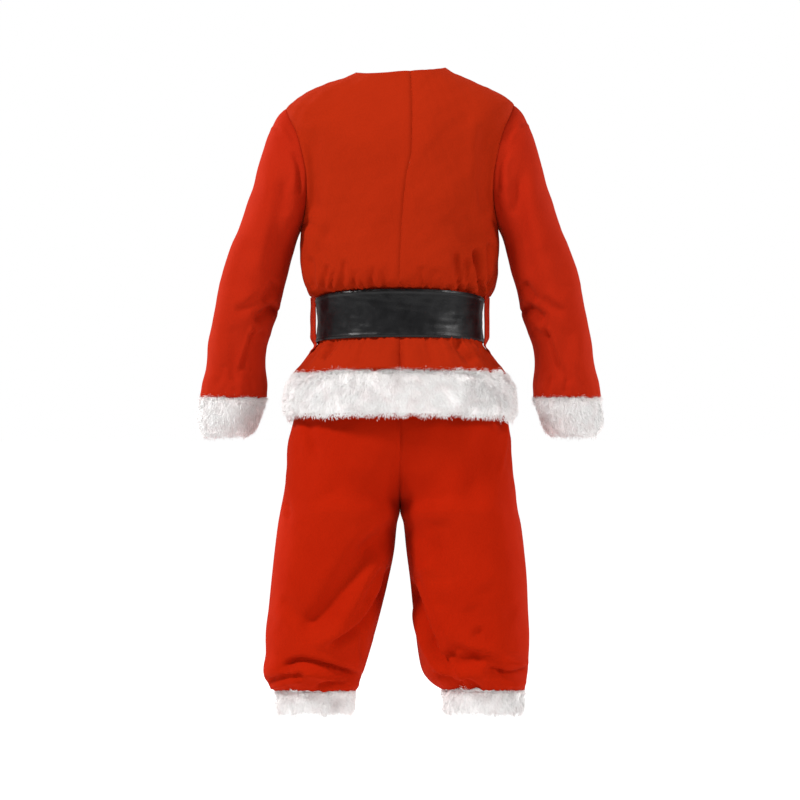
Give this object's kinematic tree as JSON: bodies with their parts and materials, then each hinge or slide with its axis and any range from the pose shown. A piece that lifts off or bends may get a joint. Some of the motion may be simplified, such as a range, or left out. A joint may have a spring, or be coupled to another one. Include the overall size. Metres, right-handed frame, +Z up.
{
  "type": "santa suit",
  "caption": "Red felted-cloth jacket and knee-length trousers with white fur bands at hem, cuffs and knees and a wide black belt, held hollow as worn",
  "frame": {"origin": "On the axis of the body at the height of the back of the neck edge, where the wearer's shoulders hold the suit", "axes": "+Z up, the front faces -Y, +X is the wearer's left"},
  "size_m": [0.734, 0.344, 1.153],
  "materials": {
    "red_cloth": "matte brushed felt",
    "white_fur": "short soft pile",
    "black_faux_leather": "semi-gloss, softly wrinkled",
    "buckle_metal": "polished"
  },
  "bodies": {
    "root": {"jacket_back_left": "red_cloth", "jacket_back_right": "red_cloth", "jacket_front": "red_cloth", "sleeve_left": "red_cloth", "sleeve_right": "red_cloth", "fur_cuff_left": "white_fur", "fur_cuff_right": "white_fur", "fur_hem_back": "white_fur", "fur_hem_front": "white_fur", "belt": "black_faux_leather", "belt_buckle": "buckle_metal", "belt_loop_left": "red_cloth", "belt_loop_right": "red_cloth", "trouser_back_left": "red_cloth", "trouser_back_right": "red_cloth", "trouser_front_left": "red_cloth", "trouser_front_right": "red_cloth", "trouser_waistband": "red_cloth", "fur_knee_left": "white_fur", "fur_knee_right": "white_fur"}
  },
  "joints": []
}
